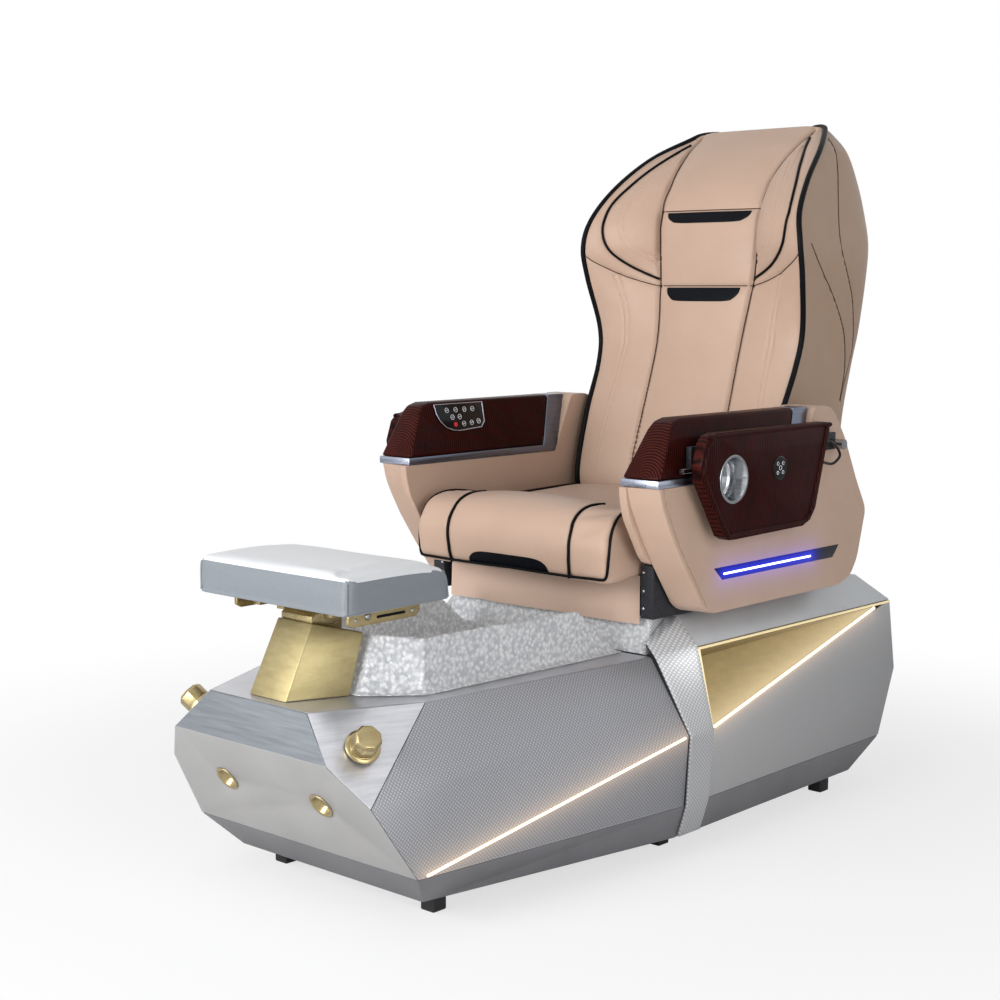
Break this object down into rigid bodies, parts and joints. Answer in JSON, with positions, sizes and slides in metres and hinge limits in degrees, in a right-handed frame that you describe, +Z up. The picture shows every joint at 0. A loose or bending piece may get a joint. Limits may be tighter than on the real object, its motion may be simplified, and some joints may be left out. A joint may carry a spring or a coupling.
{
  "type": "pedicure spa chair",
  "caption": "Pedicure spa chair: reclining padded seat on a faceted base with an illuminated foot basin, tilting footrest, lifting arms and swing-out side trays.",
  "frame": {"origin": "on the floor, below the middle of the overall box", "axes": "+Z up, the basin end faces -Y, +X is the sitter's left"},
  "size_m": [0.832, 1.6, 1.438],
  "materials": {
    "frame_steel": "satin",
    "foot_rubber": "matte",
    "skirt_dark": "satin",
    "satin_sheet": "satin",
    "brushed_plate": "brushed",
    "twill_panel": "fine diagonal twill",
    "gold_metal": "satin",
    "warm_light": "lit",
    "crystal": "hammered",
    "white_plastic": "gloss",
    "bright_steel": "satin",
    "pad_cover": "smooth vinyl",
    "frame_black": "crinkle",
    "tan_leather": "soft grain",
    "dark_wood": "gloss",
    "black_gloss": "gloss"
  },
  "bodies": {
    "base": {"base_frame": "frame_steel", "foot_front_left": "foot_rubber", "foot_front_right": "foot_rubber", "foot_mid_left": "foot_rubber", "foot_mid_right": "foot_rubber", "foot_rear_left": "foot_rubber", "foot_rear_right": "foot_rubber", "skirt": "skirt_dark", "front_panel": "satin_sheet", "corner_plate_left": "brushed_plate", "corner_plate_right": "brushed_plate", "side_panel_left": "twill_panel", "side_panel_right": "twill_panel", "centre_band_left": "brushed_plate", "centre_band_right": "brushed_plate", "rear_shell": "satin_sheet", "seat_deck": "satin_sheet", "front_deck": "brushed_plate", "gold_niche_left": "gold_metal", "gold_niche_right": "gold_metal", "side_light_left": "warm_light", "side_light_right": "warm_light", "niche_light_left": "warm_light", "niche_light_right": "warm_light", "front_pull_left": "gold_metal", "front_pull_right": "gold_metal", "tub": "crystal", "jet_cover": "white_plastic", "footrest_pedestal": "gold_metal", "footrest_hinge": "gold_metal", "slide_rail_left": "bright_steel", "slide_rail_right": "bright_steel"},
    "mixer_knob": {"knob_left": "gold_metal"},
    "drain_knob": {"knob_right": "gold_metal"},
    "stopper": {"drain_stopper": "bright_steel"},
    "impeller": {"jet_impeller": "bright_steel"},
    "footrest": {"footrest_bracket": "gold_metal", "footrest_pad": "pad_cover"},
    "carriage": {"seat_frame": "frame_black", "seat_cushion": "tan_leather", "seat_flap": "tan_leather"},
    "back": {"back_shell": "tan_leather", "back_cushion": "tan_leather"},
    "arm_left": {"arm_body_left": "tan_leather", "arm_cap_left": "dark_wood", "arm_trim_left": "bright_steel", "arm_light_left": "black_gloss", "tray_bracket_left": "frame_black"},
    "arm_right": {"arm_body_right": "tan_leather", "arm_cap_right": "dark_wood", "arm_trim_right": "bright_steel", "arm_light_right": "black_gloss", "tray_bracket_right": "frame_black", "control_panel": "black_gloss"},
    "side_tray_left": {"tray_left": "dark_wood", "cup_holder_left": "bright_steel", "tray_keypad": "black_gloss"},
    "side_tray_right": {"tray_right": "dark_wood", "cup_holder_right": "bright_steel"}
  },
  "joints": [
    {"name": "mixer_turn", "type": "hinge", "parent": "base", "child": "mixer_knob", "pos_m": [0.2085, -0.72586, 0.3285], "axis": [0.7205, -0.28, 0.6344], "range_deg": [-90, 90]},
    {"name": "drain_turn", "type": "hinge", "parent": "base", "child": "drain_knob", "pos_m": [-0.2085, -0.72586, 0.3285], "axis": [-0.7205, -0.28, 0.6344], "range_deg": [0, 91]},
    {"name": "stopper_lift", "type": "slide", "parent": "base", "child": "stopper", "axis": [0, 0, 1], "range_m": [0, 0.012]},
    {"name": "impeller_spin", "type": "hinge", "parent": "base", "child": "impeller", "pos_m": [0, -0.0642, 0.25], "axis": [0, -1, 0], "continuous": true},
    {"name": "footrest_tilt", "type": "hinge", "parent": "base", "child": "footrest", "pos_m": [0, -0.655, 0.533], "axis": [1, 0, 0], "range_deg": [0, 35]},
    {"name": "seat_slide", "type": "slide", "parent": "base", "child": "carriage", "axis": [0, -1, 0], "range_m": [0, 0.07]},
    {"name": "back_recline", "type": "hinge", "parent": "carriage", "child": "back", "pos_m": [0, 0.44, 0.6], "axis": [-1, 0, 0], "range_deg": [0, 20]},
    {"name": "arm_left_lift", "type": "hinge", "parent": "carriage", "child": "arm_left", "pos_m": [0.28, 0.49, 0.6], "axis": [-1, 0, 0], "range_deg": [0, 40]},
    {"name": "arm_right_lift", "type": "hinge", "parent": "carriage", "child": "arm_right", "pos_m": [-0.28, 0.49, 0.6], "axis": [-1, 0, 0], "range_deg": [0, 40]},
    {"name": "tray_left_swing", "type": "hinge", "parent": "arm_left", "child": "side_tray_left", "pos_m": [0.384, 0.18, 0.803], "axis": [0, -1, 0], "range_deg": [0, 90]},
    {"name": "tray_right_swing", "type": "hinge", "parent": "arm_right", "child": "side_tray_right", "pos_m": [-0.384, 0.18, 0.803], "axis": [0, 1, 0], "range_deg": [0, 90]}
  ],
  "couplings": [
    {"joint": "drain_turn", "follows": "stopper_lift", "rad_per_m": 130.9}
  ]
}
